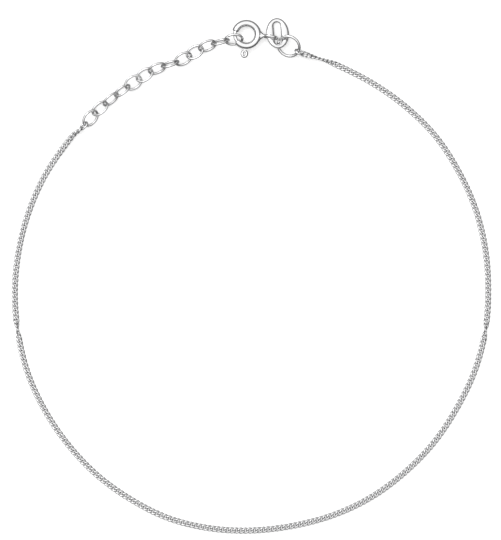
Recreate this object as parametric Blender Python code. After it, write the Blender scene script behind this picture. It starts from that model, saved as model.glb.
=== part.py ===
# Chain anklet lying on a flat surface: a fine curb chain that a spring ring closes on a row
# of extender links. An oval tag ring hangs in the spring ring's eye, and a jump ring joins
# the tag ring to the chain. Metres, +Z up, the origin on the surface under the loop's middle.

import math
from collections import namedtuple

import bmesh
import bpy
import numpy as np
from mathutils import Matrix, Vector

MM = 0.001

# Room left between pieces that hook, slide or lie on each other
RUNNING_GAP = 0.1 * MM

# Curb chain, as the flat bar with bevelled edges that its links fill
CHAIN_WIDTH = 1.15 * MM
CHAIN_THICKNESS = 0.66 * MM
CHAIN_EDGE_WIDTH = 0.2 * MM
CHAIN_POINT_SPACING = 2.9 * MM
CHAIN_EASE_LENGTH = 7.0 * MM

# Width of the loop between the chain's middle lines, and the chain's route as shares of it,
# clockwise from the jump ring round to the extender
LOOP_WIDTH = 80.2 * MM
CHAIN_ROUTE = [
    (0.1121, 0.4671), (0.1733, 0.4476), (0.2531, 0.4077), (0.3242, 0.3579),
    (0.3878, 0.2955), (0.4364, 0.2219), (0.4726, 0.1421), (0.4938, 0.0561),
    (0.5000, -0.0312), (0.4938, -0.1172), (0.4713, -0.2020), (0.4327, -0.2818),
    (0.3840, -0.3541), (0.3229, -0.4165), (0.2519, -0.4688), (0.1721, -0.5062),
    (0.0873, -0.5287), (-0.0012, -0.5387), (-0.0898, -0.5337), (-0.1758, -0.5125),
    (-0.2556, -0.4726), (-0.3279, -0.4202), (-0.3890, -0.3554), (-0.4377, -0.2830),
    (-0.4738, -0.2032), (-0.4938, -0.1172), (-0.5000, -0.0312), (-0.4913, 0.0561),
    (-0.4688, 0.1397), (-0.4327, 0.2182), (-0.3828, 0.2893), (-0.3621, 0.3070),
]

# Link at each end of the curb chain, which has room for the jump ring's wire inside it
END_LINK_LENGTH = 1.8 * MM
END_LINK_WIRE = 0.34 * MM
END_LINK_ROOM = 0.34 * MM
CLASP_END_HEADING = 158.0
CLASP_END_PITCH = 14.0
EXTENDER_END_HEADING = 48.0

# Extender links
LINK_LENGTH = 3.34 * MM
LINK_WIDTH = 2.6 * MM
LINK_WIRE = 0.4 * MM
LINK_HEIGHT_STEP = 0.2 * MM

# Each extender link as it lies, from the spring ring outwards: the heading of its length
# and its roll about it, in degrees
ExtenderLink = namedtuple("ExtenderLink", "heading roll")
EXTENDER_LINKS = [
    ExtenderLink(6, 44),
    ExtenderLink(14, -72),
    ExtenderLink(22, 48),
    ExtenderLink(31, -30),
    ExtenderLink(29, 38),
    ExtenderLink(17, -70),
    ExtenderLink(22, 50),
    ExtenderLink(34, -32),
    ExtenderLink(33, 26),
    ExtenderLink(36, -58),
    ExtenderLink(40, 60),
    ExtenderLink(40, -38),
    ExtenderLink(50, 34),
]

# The first link passes through the spring ring's mouth: where its near end crosses the bolt,
# and how far past the bolt it reaches
HOOK_ANGLE = 204.0
HOOK_DEPTH = 1.1 * MM

# Spring ring: a hollow ring with a mouth, which a sprung bolt closes
RING_CENTRE = LOOP_WIDTH * Vector((-0.0107, 0.5087, 0))
RING_TILT_AXIS = -8.0
RING_DIAMETER = 5.0 * MM
RING_TUBE = 1.1 * MM
MOUTH_TOP = 163.0
MOUTH_BOTTOM = 216.0
CHANNEL_END = 351.0
SOCKET_DEPTH = 0.4 * MM

# Bolt and its trigger
BOLT_WIRE = 0.55 * MM
BOLT_SEAT = 0.25 * MM
BOLT_TAIL = 286.0
BOLT_TRAVEL = 58.0
TRIGGER_ANGLE = 264.0
TRIGGER_LENGTH = 1.45 * MM
TRIGGER_WIDTH = 1.27 * MM
TRIGGER_THICKNESS = 0.36 * MM
TRIGGER_ROUNDING = 0.1 * MM
TRIGGER_SLOT_LENGTH = 0.5 * MM
TRIGGER_SLOT_WIDTH = 0.2 * MM
STEM_WIDTH = 0.4 * MM

# Oval tag ring: its slot stands off its rim by a band at each side and a narrower one at its ends
TAG_WIDTH = 3.85 * MM
TAG_THICKNESS = 0.6 * MM
TAG_SLOT_LENGTH = 3.9 * MM
TAG_SLOT_WIDTH = 1.15 * MM
TAG_END_BAND = 0.725 * MM
TAG_HEADING = 4.0
TAG_TILT_AXIS = 167.0
TAG_LENGTH = TAG_SLOT_LENGTH + 2 * TAG_END_BAND
TAG_SIDE_BAND = (TAG_WIDTH - TAG_SLOT_WIDTH) / 2

# Neck and eye of the spring ring, whose eye has room for the tag's side band
NECK_ANGLE = -4.0
NECK_LENGTH = 0.25 * MM
NECK_FLARE_WIDTH = 2.5 * MM
NECK_FLARE_THICKNESS = 0.9 * MM
EYE_TURN = -5.7
EYE_ROOM = 0.35 * MM
EYE_HEIGHT = 2.2 * MM
EYE_WIRE = 0.5 * MM
EYE_TO_SLOT_END = 1.4 * MM
EYE_LENGTH = TAG_SIDE_BAND + EYE_ROOM + 2 * EYE_WIRE

# Round jump ring
JUMP_DIAMETER = 4.2 * MM
JUMP_WIRE = 0.48 * MM
JUMP_HEADING = -30.0
JUMP_BEARING = -8.0
JUMP_OVERLAP = 0.1 * MM

# A pose search moves by these steps, from the tightest place to the slackest
SLIDE_STEP = 0.02 * MM
SLIDE_COUNT = 60
TILT_STEP = 0.5
TILT_LIMIT = 40.0
TILT_AXIS_STEP = 14.0

# How finely a piece's middle is sampled while its pose is searched for
CORE_POINTS = 90
TAG_LINES = 4

# How finely the wires and the solids are drawn
ROUTE_FINENESS = 16
LINK_POINTS = 15
LINK_SIDES = 1
ROUND_WIRE_POINTS = 30
WIRE_SIDES = 2
RING_POINTS = 60
RING_SIDES = 4
LEAST_ARC_POINTS = 4
NECK_SIDES = 20
TRIGGER_WAY_POINTS = 20
TRIGGER_POINTS = 24
TAG_POINTS = 48

# How far a cutter or a joined piece runs past the face that it meets
OVERRUN = 0.2 * MM
WELD_DISTANCE = 0.001 * MM
SMOOTH_ANGLE = 40.0

# The neck ends inside the eye's wire, and the stem inside the trigger's thickness
NECK_TIP_SHARE = 0.85
STEM_SHARE = 0.8

# A sampled tube has round ends, so they stand back by this share of it from its cut ends
CUT_END_SHARE = 0.25

# Polished silver, a little duller on the chain
SILVER = (0.87, 0.87, 0.88)
POLISHED_ROUGHNESS = 0.12
CHAIN_ROUGHNESS = 0.3

RING_MEAN_RADIUS = (RING_DIAMETER - RING_TUBE) / 2
JUMP_RADIUS = (JUMP_DIAMETER - JUMP_WIRE) / 2
END_LINK_WIDTH = JUMP_WIRE + END_LINK_ROOM + 2 * END_LINK_WIRE
TRIGGER_MIDDLE = RING_DIAMETER / 2 + RUNNING_GAP + TRIGGER_LENGTH / 2

# A round piece of metal as points along its middle and the radius of metal round them
Core = namedtuple("Core", "points radius")

# The pose of each piece, with a list of them for the extender links
Layout = namedtuple("Layout", "links spring_ring tag_ring jump_ring clasp_end extender_end")


def heading(degrees):
    angle = math.radians(degrees)
    return Vector((math.cos(angle), math.sin(angle), 0))


def turn(degrees, axis):
    return Matrix.Rotation(math.radians(degrees), 4, axis)


def ring_degrees(length):
    """The angle that a length takes along the middle of the spring ring's tube."""
    return math.degrees(length / RING_MEAN_RADIUS)


def oval(half_length, half_width, count):
    angles = np.linspace(0, 2 * math.pi, count, endpoint=False)
    return np.stack([half_length * np.cos(angles), half_width * np.sin(angles), 0 * angles], 1)


def arc(radius, start, end, count):
    angles = np.radians(np.linspace(start, end, count))
    return np.stack([radius * np.cos(angles), radius * np.sin(angles), 0 * angles], 1)


def placed(piece, pose):
    rotation = np.array(pose.to_3x3())
    move = np.array(pose.translation)
    return [Core(core.points @ rotation.T + move, core.radius) for core in piece]


def is_clear(piece, others):
    for core in piece:
        for other in others:
            reach = core.radius + other.radius + RUNNING_GAP
            apart = core.points[:, None, :] - other.points[None, :, :]
            if (apart**2).sum(axis=2).min() < reach**2:
                return False
    return True


def first_clear(poses, piece, others):
    """The first pose that keeps the piece clear of the others, or the last one of all."""
    for pose in poses:
        if is_clear(placed(piece, pose), others):
            break
    return pose


def resting(piece, rotation, place):
    """The pose that lays a turned piece on the surface, with its middle over a place."""
    low = min(core.points[:, 2].min() - core.radius for core in placed(piece, rotation))
    return Matrix.Translation((place.x, place.y, -low)) @ rotation


def far_point(piece, direction):
    points = piece[0].points
    return Vector(points[np.argmax(points @ np.array(direction))])


def link_piece(length, width, wire):
    return [Core(oval((length - wire) / 2, (width - wire) / 2, CORE_POINTS), wire / 2)]


def hooked(piece, rotation, carrier, height):
    """Hooks a link on the far side of its carrier, as tight as the running gap allows.

    The link's own +X end reaches through the carrier, and its middle lies at the height given.
    With no height it stays in line with the carrier's tip.
    """
    towards = rotation.to_3x3() @ Vector((1, 0, 0))
    tip = far_point(carrier, -towards)
    tightest = carrier[0].radius + piece[0].radius - piece[0].points[:, 0].max()
    poses = []
    for step in range(SLIDE_COUNT):
        place = tip + towards * (tightest + step * SLIDE_STEP)
        if height is not None:
            place.z = height
        poses.append(Matrix.Translation(place) @ rotation)
    return first_clear(poses, piece, carrier)


def eye_pose():
    """The eye stands upright on the end of the neck, in the spring ring's own frame."""
    neck_end = heading(NECK_ANGLE) * (RING_DIAMETER / 2 + NECK_LENGTH)
    centre = neck_end + heading(NECK_ANGLE + EYE_TURN) * EYE_LENGTH / 2
    return Matrix.Translation(centre) @ turn(NECK_ANGLE + EYE_TURN, "Z") @ turn(90, "X")


def spring_ring_piece():
    """The spring ring's tube, closed bolt and eye, in the spring ring's own frame."""
    inset = ring_degrees(RING_TUBE * CUT_END_SHARE)
    start = MOUTH_BOTTOM + inset
    end = MOUTH_TOP + 360 - inset
    tube = Core(arc(RING_MEAN_RADIUS, start, end, 2 * CORE_POINTS), RING_TUBE / 2)
    bolt = Core(arc(RING_MEAN_RADIUS, MOUTH_TOP, MOUTH_BOTTOM, CORE_POINTS), BOLT_WIRE / 2)
    eye = link_piece(EYE_LENGTH, EYE_HEIGHT, EYE_WIRE)
    return [tube, bolt] + placed(eye, eye_pose())


def lie_rotation(lie):
    return turn(lie.heading, "Z") @ turn(lie.roll, "X")


def link_heights(link):
    """How high each extender link's middle lies: on the surface, or held up by a neighbour."""
    origin = Vector((0, 0, 0))
    rest = [resting(link, lie_rotation(lie), origin).translation.z for lie in EXTENDER_LINKS]
    for _ in rest:
        for index in range(len(rest) - 1):
            rest[index] = max(rest[index], rest[index + 1] - LINK_HEIGHT_STEP)
            rest[index + 1] = max(rest[index + 1], rest[index] - LINK_HEIGHT_STEP)
    return rest


def extender_poses(link):
    """The first link passes through the spring ring's mouth and round its bolt."""
    heights = link_heights(link)
    lie = EXTENDER_LINKS[0]
    crossing = RING_CENTRE + heading(HOOK_ANGLE) * RING_MEAN_RADIUS
    centre = crossing + heading(lie.heading) * (HOOK_DEPTH - link[0].points[:, 0].max())
    centre.z = heights[0]
    poses = [Matrix.Translation(centre) @ lie_rotation(lie)]
    for lie, height in zip(EXTENDER_LINKS[1:], heights[1:]):
        poses.append(hooked(link, lie_rotation(lie), placed(link, poses[-1]), height))
    return poses


def spring_ring_pose(piece, first_link):
    """The ring leans over the link that passes under its tube, and rests on its far side."""
    poses = []
    for axis in [RING_TILT_AXIS, RING_TILT_AXIS + TILT_AXIS_STEP, RING_TILT_AXIS - TILT_AXIS_STEP]:
        for tilt in np.arange(0, TILT_LIMIT, TILT_STEP):
            lean = Matrix.Rotation(-math.radians(tilt), 4, heading(axis))
            poses.append(resting(piece, lean, RING_CENTRE))
    return first_clear(poses, piece, first_link)


def tag_piece():
    """The tag ring's middle surface, from its slot out to its rim, less its round edges."""
    radius = TAG_THICKNESS / 2
    rim = oval(TAG_WIDTH / 2 - radius, TAG_LENGTH / 2 - radius, CORE_POINTS)
    slot = slot_outline(TAG_SLOT_WIDTH / 2 + radius, TAG_SLOT_LENGTH / 2 + radius, CORE_POINTS)
    lines = [slot + (rim - slot) * share for share in np.linspace(0, 1, TAG_LINES)]
    return [Core(np.concatenate(lines), radius)]


def slot_outline(half_width, half_length, count):
    """A slot along Y with round ends."""
    outline = oval(half_width, half_width, count)
    outline[:, 1] += np.where(outline[:, 1] > 0, 1, -1) * (half_length - half_width)
    return outline


def tag_and_jump_ring_poses(tag, jump_ring, spring_ring):
    """The tag ring leans on the eye and on the jump ring, which passes through its slot.

    Each has the smallest lean with which both run clear.
    """
    eye = spring_ring[-1]
    middle = Vector(eye.points.mean(axis=0))
    flat = turn(TAG_HEADING, "Z")
    across = (TAG_SIDE_BAND + TAG_SLOT_WIDTH) / 2
    slot_end = middle + flat @ Vector((across, -EYE_TO_SLOT_END, 0))
    tag_place = slot_end + flat @ Vector((0, TAG_SLOT_LENGTH / 2, 0))
    jump_place = slot_end + heading(JUMP_BEARING) * (JUMP_RADIUS - JUMP_OVERLAP)
    tag_poses = []
    jump_poses = []
    for lean in np.arange(0, TILT_LIMIT, TILT_STEP):
        tag_turn = Matrix.Rotation(math.radians(lean), 4, heading(TAG_TILT_AXIS)) @ flat
        tag_poses.append(resting(tag, tag_turn, tag_place))
        jump_turn = turn(JUMP_HEADING, "Z") @ turn(lean, "X")
        jump_poses.append(resting(jump_ring, jump_turn, jump_place))
    off_ring = [pose for pose in tag_poses if is_clear(placed(tag, pose), spring_ring)]
    for tag_pose in off_ring or tag_poses[-1:]:
        metal = placed(tag, tag_pose) + spring_ring
        jump_pose = first_clear(jump_poses, jump_ring, metal)
        if is_clear(placed(jump_ring, jump_pose), metal):
            break
    return tag_pose, jump_pose


def square_turn(towards, carrier):
    """The turn of a link that points towards its carrier and stands square across its wire."""
    points = carrier[0].points
    tip = np.argmin(points @ np.array(towards))
    wire = Vector(points[(tip + 1) % CORE_POINTS] - points[tip - 1])
    side = wire.cross(towards).normalized()
    return Matrix([towards, side, towards.cross(side)]).transposed().to_4x4()


def end_link_poses(end_link, jump_ring, last_link):
    """The chain's end links: one pulled tight on the jump ring, one on the last extender link."""
    up = Vector((0, 0, math.tan(math.radians(CLASP_END_PITCH))))
    clasp_turn = square_turn((heading(CLASP_END_HEADING) + up).normalized(), jump_ring)
    extender_turn = square_turn(heading(EXTENDER_END_HEADING), last_link)
    clasp_end = hooked(end_link, clasp_turn, jump_ring, None)
    return clasp_end, hooked(end_link, extender_turn, last_link, None)


def lay_out(link, end_link, jump_ring):
    """Lays the extender first, then the spring ring on it, and the rest in their turn."""
    links = extender_poses(link)
    ring = spring_ring_piece()
    ring_pose = spring_ring_pose(ring, placed(link, links[0]))
    laid_ring = placed(ring, ring_pose)
    tag_pose, jump_pose = tag_and_jump_ring_poses(tag_piece(), jump_ring, laid_ring)
    laid_jump_ring = placed(jump_ring, jump_pose)
    ends = end_link_poses(end_link, laid_jump_ring, placed(link, links[-1]))
    return Layout(links, ring_pose, tag_pose, jump_pose, *ends)


def fitted_route(start, end):
    """The chain's route, drawn over so that it begins and ends where its end links hold it."""
    route = LOOP_WIDTH * np.array(CHAIN_ROUTE)
    share = np.linspace(0, 1, len(route))[:, None]
    start_shift = np.array(start.xy) - route[0]
    end_shift = np.array(end.xy) - route[-1]
    return route + (1 - share) * start_shift + share * end_shift


def chain_curve(start, end):
    """Points along the chain: a smooth curve through its route, eased down from its two ends."""
    plan = fitted_route(start, end)
    ends = [2 * plan[0] - plan[1], 2 * plan[-1] - plan[-2]]
    knots = np.vstack([ends[0], plan, ends[1]])
    shares = np.linspace(0, 1, ROUTE_FINENESS, endpoint=False)[:, None]
    runs = []
    for before, here, there, after in zip(knots, knots[1:], knots[2:], knots[3:]):
        bend = 2 * before - 5 * here + 4 * there - after
        swing = 3 * here - before - 3 * there + after
        run = here + (there - before) * shares / 2 + bend * shares**2 / 2 + swing * shares**3 / 2
        runs.append(run)
    fine = np.vstack(runs + [plan[-1:]])
    along = np.concatenate([[0], np.cumsum(np.linalg.norm(np.diff(fine, axis=0), axis=1))])
    count = round(along[-1] / CHAIN_POINT_SPACING) + 1
    marks = np.linspace(0, along[-1], count)
    x = np.interp(marks, along, fine[:, 0])
    y = np.interp(marks, along, fine[:, 1])
    rest = CHAIN_THICKNESS / 2
    z = rest + (start.z - rest) * fade(marks) + (end.z - rest) * fade(along[-1] - marks)
    return np.stack([x, y, z], 1)


def fade(distance):
    """From 1 at an end of the chain to 0 where it has come down to the surface."""
    share = np.clip(distance / CHAIN_EASE_LENGTH, 0, 1)
    return (1 - share) ** 2 * (1 + 2 * share)


def silver(name, roughness):
    metal = bpy.data.materials.new(name)
    metal.use_nodes = True
    shader = metal.node_tree.nodes["Principled BSDF"]
    shader.inputs["Base Color"].default_value = (*SILVER, 1)
    shader.inputs["Roughness"].default_value = roughness
    shader.inputs["Metallic"].default_value = 1
    metal.diffuse_color = (*SILVER, 1)
    return metal


def wire_data(name, points, wire, closed, sides):
    """A round wire along points: sides is the curve's bevel resolution."""
    data = bpy.data.curves.new(name, "CURVE")
    data.dimensions = "3D"
    data.twist_mode = "Z_UP"
    data.bevel_depth = wire / 2
    data.bevel_resolution = sides
    data.use_fill_caps = not closed
    spline = data.splines.new("POLY")
    spline.points.add(len(points) - 1)
    for target, point in zip(spline.points, points):
        target.co = (*point, 1)
    spline.use_cyclic_u = closed
    return data


def loop_data(name, piece, count, sides):
    """The closed wire of a piece, drawn through a number of the points along its middle."""
    points = piece[0].points[:: CORE_POINTS // count]
    return wire_data(name, points, 2 * piece[0].radius, True, sides)


def flat_data(name, outlines, thickness, rounding):
    """A flat plate between closed outlines, with its edges rounded outwards."""
    data = bpy.data.curves.new(name, "CURVE")
    data.dimensions = "2D"
    data.fill_mode = "BOTH"
    data.bevel_depth = rounding
    data.bevel_resolution = WIRE_SIDES
    data.extrude = thickness / 2 - rounding
    for outline in outlines:
        spline = data.splines.new("POLY")
        spline.points.add(len(outline) - 1)
        for target, point in zip(spline.points, outline):
            target.co = (*point, 1)
        spline.use_cyclic_u = True
    return data


def add_object(name, data, collection, pose, metal=None):
    item = bpy.data.objects.new(name, data)
    collection.objects.link(item)
    item.matrix_world = pose
    if metal and not data.materials:
        data.materials.append(metal)
    return item


def as_mesh(item):
    """Turns a curve object into a mesh object of the same name, with its caps welded."""
    bpy.context.view_layer.update()
    graph = bpy.context.evaluated_depsgraph_get()
    mesh = bpy.data.meshes.new_from_object(item.evaluated_get(graph))
    shape = bmesh.new()
    shape.from_mesh(mesh)
    bmesh.ops.remove_doubles(shape, verts=shape.verts, dist=WELD_DISTANCE)
    bmesh.ops.recalc_face_normals(shape, faces=shape.faces)
    shape.to_mesh(mesh)
    shape.free()
    name = item.name
    collection = item.users_collection[0]
    pose = item.matrix_world.copy()
    curve = item.data
    bpy.data.objects.remove(item)
    bpy.data.curves.remove(curve)
    return add_object(name, mesh, collection, pose)


def smooth(item):
    item.data.shade_smooth()
    item.data.set_sharp_from_angle(angle=math.radians(SMOOTH_ANGLE))


def boolean(item, other, operation):
    """Joins or cuts with a helper, which is left out of the object."""
    modifier = item.modifiers.new(other.name, "BOOLEAN")
    modifier.operation = operation
    modifier.solver = "EXACT"
    modifier.object = other
    other.hide_render = True
    other.display_type = "WIRE"


def ring_arc(name, wire, start, end, helpers):
    """A round bar along the middle of the spring ring's tube, between two angles."""
    count = max(LEAST_ARC_POINTS, round(RING_POINTS * (end - start) / 360))
    points = arc(RING_MEAN_RADIUS, start, end, count)
    data = wire_data(name, points, wire, False, RING_SIDES)
    return as_mesh(add_object(name, data, helpers, Matrix()))


def neck_flare(helpers):
    """A flattened cone that widens from the eye's wire into the ring."""
    base = RING_MEAN_RADIUS
    tip = RING_DIAMETER / 2 + NECK_LENGTH + EYE_WIRE / 2
    mesh = bpy.data.meshes.new("neck_flare")
    shape = bmesh.new()
    bmesh.ops.create_cone(
        shape, cap_ends=True, segments=NECK_SIDES, radius1=NECK_FLARE_WIDTH / 2,
        radius2=NECK_TIP_SHARE * EYE_WIRE / 2, depth=tip - base,
    )
    for vertex in shape.verts:
        if vertex.co.z < 0:
            vertex.co.x *= NECK_FLARE_THICKNESS / NECK_FLARE_WIDTH
    shape.to_mesh(mesh)
    shape.free()
    middle = Matrix.Translation(heading(NECK_ANGLE) * (base + tip) / 2)
    return add_object("neck_flare", mesh, helpers, middle @ turn(NECK_ANGLE, "Z") @ turn(90, "Y"))


def trigger_way(helpers):
    """The cutter for the slot in the tube's outer side, along which the trigger slides."""
    spare = math.degrees((STEM_WIDTH / 2 + RUNNING_GAP) / RING_MEAN_RADIUS)
    start = TRIGGER_ANGLE - spare
    end = TRIGGER_ANGLE + BOLT_TRAVEL + spare
    outer = arc(RING_DIAMETER / 2 + OVERRUN, start, end, TRIGGER_WAY_POINTS)
    inner = arc(RING_MEAN_RADIUS, end, start, TRIGGER_WAY_POINTS)
    height = TRIGGER_THICKNESS + 2 * RUNNING_GAP
    data = flat_data("trigger_way", [np.vstack([outer, inner])], height, 0)
    return as_mesh(add_object("trigger_way", data, helpers, Matrix()))


def build_spring_ring(parts, helpers):
    """The ring's tube, neck and eye, soldered into one and hollowed for the bolt."""
    ring = ring_arc("spring_ring", RING_TUBE, MOUTH_BOTTOM, MOUTH_TOP + 360, parts)
    ring.data.materials.append(silver("spring_ring_silver", POLISHED_ROUGHNESS))
    eye_piece = link_piece(EYE_LENGTH, EYE_HEIGHT, EYE_WIRE)
    eye_data = loop_data("eye", eye_piece, ROUND_WIRE_POINTS, WIRE_SIDES)
    eye = as_mesh(add_object("eye", eye_data, helpers, eye_pose()))
    channel = BOLT_WIRE + 2 * RUNNING_GAP
    over = ring_degrees(OVERRUN)
    bore = ring_arc("bolt_bore", channel, MOUTH_BOTTOM - over, CHANNEL_END, helpers)
    socket_start = MOUTH_TOP - ring_degrees(SOCKET_DEPTH)
    socket = ring_arc("bolt_socket", channel, socket_start, MOUTH_TOP + over, helpers)
    boolean(ring, neck_flare(helpers), "UNION")
    boolean(ring, eye, "UNION")
    boolean(ring, bore, "DIFFERENCE")
    boolean(ring, socket, "DIFFERENCE")
    boolean(ring, trigger_way(helpers), "DIFFERENCE")
    smooth(ring)
    return ring


def trigger_paddle(helpers):
    """The flat oval paddle, with a slot along its middle."""
    half_length = TRIGGER_LENGTH / 2 - TRIGGER_ROUNDING
    half_width = TRIGGER_WIDTH / 2 - TRIGGER_ROUNDING
    rim = oval(half_length, half_width, TRIGGER_POINTS)
    slot_half_width = TRIGGER_SLOT_WIDTH / 2 + TRIGGER_ROUNDING
    slot_half_length = TRIGGER_SLOT_LENGTH / 2 + TRIGGER_ROUNDING
    slot = slot_outline(slot_half_width, slot_half_length, TRIGGER_POINTS // 2)
    outlines = [rim, slot[:, [1, 0, 2]]]
    data = flat_data("trigger", outlines, TRIGGER_THICKNESS, TRIGGER_ROUNDING)
    return as_mesh(add_object("trigger", data, helpers, trigger_pose(TRIGGER_MIDDLE)))


def trigger_pose(distance):
    """A place at a distance from the ring's middle, along the trigger."""
    return turn(TRIGGER_ANGLE, "Z") @ Matrix.Translation((distance, 0, 0))


def trigger_stem(helpers):
    """The bar from the bolt's wire to the near end of the trigger's slot."""
    end = TRIGGER_MIDDLE - TRIGGER_SLOT_LENGTH / 2 - TRIGGER_ROUNDING
    length = end - RING_MEAN_RADIUS
    mesh = bpy.data.meshes.new("stem")
    shape = bmesh.new()
    size = Matrix.Diagonal((length, STEM_WIDTH, TRIGGER_THICKNESS * STEM_SHARE, 1))
    bmesh.ops.create_cube(shape, size=1, matrix=size)
    shape.to_mesh(mesh)
    shape.free()
    return add_object("stem", mesh, helpers, trigger_pose(RING_MEAN_RADIUS + length / 2))


def build_bolt(parts, helpers):
    """The wire that closes the mouth, with the trigger that slides it."""
    start = MOUTH_TOP - ring_degrees(BOLT_SEAT)
    bolt = ring_arc("spring_ring_bolt", BOLT_WIRE, start, BOLT_TAIL, parts)
    bolt.data.materials.append(silver("bolt_silver", POLISHED_ROUGHNESS))
    boolean(bolt, trigger_stem(helpers), "UNION")
    boolean(bolt, trigger_paddle(helpers), "UNION")
    smooth(bolt)
    return bolt


def chain_section(helpers):
    """The chain's outline across its length: flat above and below, with bevelled edges."""
    half_width = CHAIN_WIDTH / 2
    half_height = CHAIN_THICKNESS / 2
    flat = half_width - CHAIN_EDGE_WIDTH
    edge = half_height - CHAIN_EDGE_WIDTH
    corner = [(half_width, edge), (flat, half_height)]
    above = corner + [(-x, y) for x, y in reversed(corner)]
    outline = above + [(-x, -y) for x, y in above]
    data = bpy.data.curves.new("chain_section", "CURVE")
    data.dimensions = "2D"
    spline = data.splines.new("POLY")
    spline.points.add(len(outline) - 1)
    for target, (x, y) in zip(spline.points, outline):
        target.co = (x, y, 0, 1)
    spline.use_cyclic_u = True
    section = add_object("chain_section", data, helpers, Matrix())
    section.hide_render = True
    return section


def build_chain(parts, helpers, layout, end_link):
    """The chain's bar, with the real link at each end that it is hooked by."""
    end_poses = [layout.clasp_end, layout.extender_end]
    tips = []
    for pose in end_poses:
        away = pose.to_3x3() @ Vector((-1, 0, 0))
        tips.append(pose.translation + away * (END_LINK_LENGTH / 2 + RUNNING_GAP))
    chain = wire_data("curb_chain", chain_curve(*tips), CHAIN_WIDTH, False, WIRE_SIDES)
    chain.bevel_mode = "OBJECT"
    chain.bevel_object = chain_section(helpers)
    bar = as_mesh(add_object("curb_chain", chain, parts, Matrix()))
    bar.data.materials.append(silver("chain_silver", CHAIN_ROUGHNESS))
    end_data = loop_data("end_link", end_link, LINK_POINTS, LINK_SIDES)
    end_metal = silver("end_link_silver", CHAIN_ROUGHNESS)
    for name, pose in zip(["end_link_clasp", "end_link_extender"], end_poses):
        add_object(name, end_data, parts, pose, end_metal)


def build_extender(parts, layout, link):
    data = loop_data("extender_link", link, LINK_POINTS, LINK_SIDES)
    metal = silver("extender_silver", POLISHED_ROUGHNESS)
    for number, pose in enumerate(layout.links, 1):
        add_object(f"extender_link_{number:02d}", data, parts, pose, metal)


def build_clasp(parts, helpers, layout):
    """The spring ring and its bolt, made flat round the origin, then laid in their place."""
    axis = bpy.data.objects.new("spring_ring_axis", None)
    parts.objects.link(axis)
    pieces = [build_spring_ring(parts, helpers), build_bolt(parts, helpers)]
    for item in pieces + list(helpers.objects):
        item.parent = axis
    axis.matrix_world = layout.spring_ring


def build_tag_ring(parts, layout):
    radius = TAG_THICKNESS / 2
    rim = oval(TAG_WIDTH / 2 - radius, TAG_LENGTH / 2 - radius, TAG_POINTS)
    half_width = TAG_SLOT_WIDTH / 2 + radius
    slot = slot_outline(half_width, TAG_SLOT_LENGTH / 2 + radius, TAG_POINTS // 2)
    data = flat_data("tag_ring", [rim, slot], TAG_THICKNESS, radius)
    tag = as_mesh(add_object("tag_ring", data, parts, layout.tag_ring))
    tag.data.materials.append(silver("tag_silver", POLISHED_ROUGHNESS))
    smooth(tag)


def build_jump_ring(parts, layout, jump_ring):
    data = loop_data("jump_ring", jump_ring, ROUND_WIRE_POINTS, WIRE_SIDES)
    metal = silver("jump_ring_silver", POLISHED_ROUGHNESS)
    add_object("jump_ring", data, parts, layout.jump_ring, metal)


def build():
    for item in list(bpy.data.objects):
        bpy.data.objects.remove(item)
    parts = bpy.data.collections.new("chain_anklet")
    helpers = bpy.data.collections.new("cutters")
    bpy.context.scene.collection.children.link(parts)
    bpy.context.scene.collection.children.link(helpers)

    link = link_piece(LINK_LENGTH, LINK_WIDTH, LINK_WIRE)
    end_link = link_piece(END_LINK_LENGTH, END_LINK_WIDTH, END_LINK_WIRE)
    jump_ring = link_piece(JUMP_DIAMETER, JUMP_DIAMETER, JUMP_WIRE)
    layout = lay_out(link, end_link, jump_ring)
    build_clasp(parts, helpers, layout)
    build_extender(parts, layout, link)
    build_chain(parts, helpers, layout, end_link)
    build_tag_ring(parts, layout)
    build_jump_ring(parts, layout, jump_ring)


build()
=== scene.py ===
import math

import bmesh
import bpy
import numpy as np
from mathutils import Euler, Matrix, Vector
from mathutils.bvhtree import BVHTree


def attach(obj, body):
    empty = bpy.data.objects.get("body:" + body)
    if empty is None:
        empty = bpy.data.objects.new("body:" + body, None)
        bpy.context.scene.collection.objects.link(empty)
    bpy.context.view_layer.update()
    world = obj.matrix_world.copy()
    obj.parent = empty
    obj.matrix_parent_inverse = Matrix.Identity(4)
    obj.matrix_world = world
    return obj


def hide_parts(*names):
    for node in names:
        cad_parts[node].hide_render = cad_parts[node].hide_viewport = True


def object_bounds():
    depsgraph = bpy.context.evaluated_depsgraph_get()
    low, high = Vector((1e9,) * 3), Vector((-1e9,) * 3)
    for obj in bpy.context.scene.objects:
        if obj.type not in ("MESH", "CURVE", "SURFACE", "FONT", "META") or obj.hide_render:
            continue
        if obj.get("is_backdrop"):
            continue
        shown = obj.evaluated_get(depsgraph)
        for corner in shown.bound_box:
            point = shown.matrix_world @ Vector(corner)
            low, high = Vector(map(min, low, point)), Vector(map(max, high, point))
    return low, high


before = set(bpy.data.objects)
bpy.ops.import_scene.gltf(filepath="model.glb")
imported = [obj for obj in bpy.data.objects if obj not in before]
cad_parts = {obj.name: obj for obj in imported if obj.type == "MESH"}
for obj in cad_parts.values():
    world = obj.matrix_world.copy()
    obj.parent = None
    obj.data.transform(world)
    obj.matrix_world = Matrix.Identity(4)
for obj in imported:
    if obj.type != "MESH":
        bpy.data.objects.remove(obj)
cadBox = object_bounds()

mm = 0.001
print("frame loaded")


# Small helpers for objects and node trees

def addObject(name, data):
    item = bpy.data.objects.new(name, data)
    bpy.context.scene.collection.objects.link(item)
    return item


def addInput(tree, name, kind, value=None):
    socket = tree.interface.new_socket(name=name, in_out="INPUT", socket_type=kind)
    if value is not None:
        socket.default_value = value
    return socket


def addOutput(tree, name, kind):
    tree.interface.new_socket(name=name, in_out="OUTPUT", socket_type=kind)


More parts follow.
